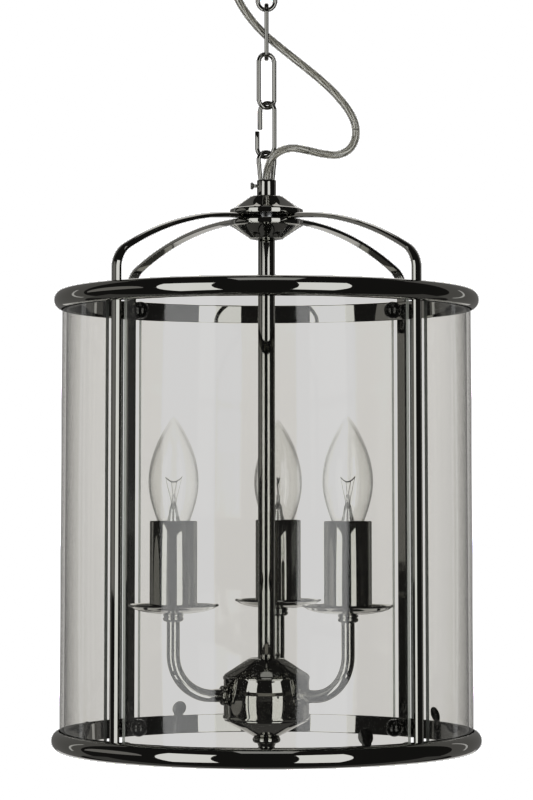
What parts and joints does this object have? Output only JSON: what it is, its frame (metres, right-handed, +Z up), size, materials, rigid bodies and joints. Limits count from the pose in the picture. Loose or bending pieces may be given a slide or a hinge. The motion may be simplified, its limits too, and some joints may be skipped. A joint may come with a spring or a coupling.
{
  "type": "hanging lantern",
  "caption": "Round glazed hanging lantern on a short chain, with curved panes between two metal rings and candle lamps on a centre stem.",
  "frame": {"origin": "centre of the ceiling bracket's upper face, on the ceiling, in line with the chain", "axes": "+Z up into the ceiling, +X to the right and -Y to the front as the lantern is seen"},
  "size_m": [0.3, 0.3, 0.6248],
  "materials": {
    "black_nickel": "mirror-polished black nickel plate",
    "zinc_steel": "bright zinc plate",
    "clear_glass": "clear bent glass with ground edges",
    "lamp_glass": "clear blown glass",
    "lamp_cap": "rolled screw cap",
    "filament": "fine wire on a glass stem",
    "flex_clear": "clear sheath over twisted silver cores",
    "black_plastic": "moulded",
    "white_plastic": "moulded"
  },
  "bodies": {
    "ceiling_fitting": {"ceiling_bracket": "zinc_steel", "ceiling_hook": "black_nickel", "hook_nuts": "zinc_steel", "ceiling_rose": "black_nickel", "rose_collar": "black_nickel", "flex_bush": "black_plastic", "flex_clamp": "white_plastic", "terminal_block": "white_plastic"},
    "first_link": {"chain_link_1": "black_nickel", "flex_5": "flex_clear"},
    "second_link": {"chain_link_2": "black_nickel", "flex_4": "flex_clear"},
    "third_link": {"chain_link_3": "black_nickel", "flex_3": "flex_clear"},
    "open_link_body": {"open_link": "black_nickel", "flex_2": "flex_clear"},
    "lantern": {"flex_1": "flex_clear", "shackle": "black_nickel", "gland": "black_nickel", "upper_cup": "black_nickel", "lower_cup": "black_nickel", "hub_spacer": "zinc_steel", "bar_1": "black_nickel", "bar_2": "black_nickel", "bar_3": "black_nickel", "bar_4": "black_nickel", "top_ring": "black_nickel", "bottom_ring": "black_nickel", "pane_1": "clear_glass", "pane_2": "clear_glass", "pane_3": "clear_glass", "pane_4": "clear_glass", "bar_screws": "zinc_steel", "top_ball_nuts": "black_nickel", "bottom_ball_nuts": "black_nickel", "glass_clips": "black_nickel", "stem_tube": "black_nickel", "stem_rod": "zinc_steel", "cluster_cap": "black_nickel", "cluster_drum": "black_nickel", "cluster_base": "black_nickel", "finial": "black_nickel", "drum_nuts": "zinc_steel", "candle_arms": "black_nickel", "arm_collars": "black_nickel", "pan_nuts": "black_nickel", "drip_pans": "black_nickel", "lamp_holders": "white_plastic", "candle_tubes": "black_nickel"},
    "thumb_screw_body": {"thumb_screw": "black_nickel"},
    "lamp_1": {"lamp_1_glass": "lamp_glass", "lamp_1_cap": "lamp_cap", "lamp_1_filament": "filament"},
    "lamp_2": {"lamp_2_glass": "lamp_glass", "lamp_2_cap": "lamp_cap", "lamp_2_filament": "filament"},
    "lamp_3": {"lamp_3_glass": "lamp_glass", "lamp_3_cap": "lamp_cap", "lamp_3_filament": "filament"}
  },
  "joints": [
    {"name": "first_link_swing", "type": "hinge", "parent": "ceiling_fitting", "child": "first_link", "pos_m": [0, 0, -0.055], "axis": [0, 1, 0], "range_deg": [-20, 20], "deforming": ["flex_5"]},
    {"name": "second_link_swing", "type": "hinge", "parent": "first_link", "child": "second_link", "pos_m": [0, 0, -0.08985], "axis": [1, 0, 0], "range_deg": [-20, 20], "deforming": ["flex_4"]},
    {"name": "third_link_swing", "type": "hinge", "parent": "second_link", "child": "third_link", "pos_m": [0, 0, -0.12515], "axis": [0, 1, 0], "range_deg": [-20, 20], "deforming": ["flex_3"]},
    {"name": "open_link_swing", "type": "hinge", "parent": "third_link", "child": "open_link_body", "pos_m": [0, 0, -0.16045], "axis": [0.891, 0.454, 0], "range_deg": [-20, 20], "deforming": ["flex_2"]},
    {"name": "lantern_swing", "type": "hinge", "parent": "open_link_body", "child": "lantern", "pos_m": [0, 0, -0.19575], "axis": [0.8387, -0.5446, 0], "range_deg": [-20, 20], "deforming": ["flex_1"]},
    {"name": "thumb_screw_turn", "type": "hinge", "parent": "lantern", "child": "thumb_screw_body", "pos_m": [-0.009, 0, -0.21655], "axis": [-1, 0, 0], "continuous": true},
    {"name": "lamp_1_lift", "type": "slide", "parent": "lantern", "child": "lamp_1", "axis": [0, 0, 1], "range_m": [0, 0.03]},
    {"name": "lamp_2_lift", "type": "slide", "parent": "lantern", "child": "lamp_2", "axis": [0, 0, 1], "range_m": [0, 0.03]},
    {"name": "lamp_3_lift", "type": "slide", "parent": "lantern", "child": "lamp_3", "axis": [0, 0, 1], "range_m": [0, 0.03]}
  ]
}
